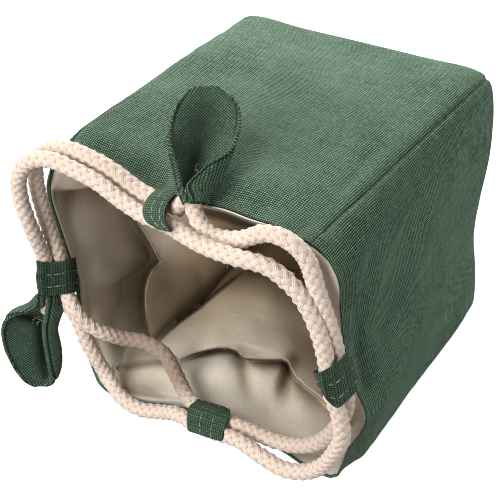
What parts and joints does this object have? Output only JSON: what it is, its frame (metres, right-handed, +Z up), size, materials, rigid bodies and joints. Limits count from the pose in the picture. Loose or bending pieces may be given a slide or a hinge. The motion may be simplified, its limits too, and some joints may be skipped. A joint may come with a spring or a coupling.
{
  "type": "drawstring storage pouch",
  "caption": "Padded square-based fabric pouch lying on its side, with a lined open mouth, rim loops, braided drawcords and leaf-shaped cloth pulls, for storing a small tea set.",
  "frame": {"origin": "centre of the flat underside that the pouch lies on", "axes": "+Z up, -Y out of the open mouth, +Y towards the base, +X to the right of someone who looks into the mouth"},
  "size_m": [0.1777, 0.1722, 0.1544],
  "materials": {
    "canvas": "plain-weave cotton-linen, matte",
    "lining": "fine plain cotton, matte",
    "wadding": "soft fibre wadding, matte",
    "cord": "braided soft cotton, matte"
  },
  "bodies": {
    "pouch": {"outer_base": "canvas", "wadding_base": "wadding", "lining_base": "lining", "outer_under": "canvas", "wadding_under": "wadding", "lining_under": "lining", "cord_loop_under": "canvas", "drawcord_1": "cord", "drawcord_2": "cord"},
    "wall_top": {"outer_top": "canvas", "wadding_top": "wadding", "lining_top": "lining", "cord_loop_top": "canvas"},
    "wall_left": {"outer_left": "canvas", "wadding_left": "wadding", "lining_left": "lining", "cord_loop_left": "canvas"},
    "wall_right": {"outer_right": "canvas", "wadding_right": "wadding", "lining_right": "lining", "cord_loop_right": "canvas"},
    "pull_top": {"leaf_top_front": "canvas", "leaf_top_back": "canvas", "cord_knot_top": "cord"},
    "pull_left": {"leaf_left_front": "canvas", "leaf_left_back": "canvas", "cord_knot_left": "cord"}
  },
  "joints": [
    {"name": "top_wall_fold", "type": "hinge", "parent": "pouch", "child": "wall_top", "pos_m": [0, 0.0685, 0.122], "axis": [1, 0, 0], "range_deg": [0, 18], "deforming": ["outer_top", "wadding_top", "lining_top", "drawcord_1", "drawcord_2"]},
    {"name": "left_wall_fold", "type": "hinge", "parent": "pouch", "child": "wall_left", "pos_m": [-0.0625, 0.0685, 0.061], "axis": [0, 0, 1], "range_deg": [0, 18], "deforming": ["outer_left", "wadding_left", "lining_left"]},
    {"name": "right_wall_fold", "type": "hinge", "parent": "pouch", "child": "wall_right", "pos_m": [0.0625, 0.0685, 0.061], "axis": [0, 0, -1], "range_deg": [0, 18], "deforming": ["outer_right", "wadding_right", "lining_right"]},
    {"name": "leaf_top_swing", "type": "hinge", "parent": "wall_top", "child": "pull_top", "pos_m": [0.01, -0.0755, 0.1303], "axis": [1, 0, 0], "range_deg": [0, 95]},
    {"name": "leaf_left_swing", "type": "hinge", "parent": "wall_left", "child": "pull_left", "pos_m": [-0.0759, -0.0842, 0.0466], "axis": [0, 1, 0], "range_deg": [0, 75]}
  ],
  "couplings": [
    {"joint": "left_wall_fold", "follows": "top_wall_fold", "ratio": 0.9},
    {"joint": "right_wall_fold", "follows": "top_wall_fold", "ratio": 0.9}
  ]
}
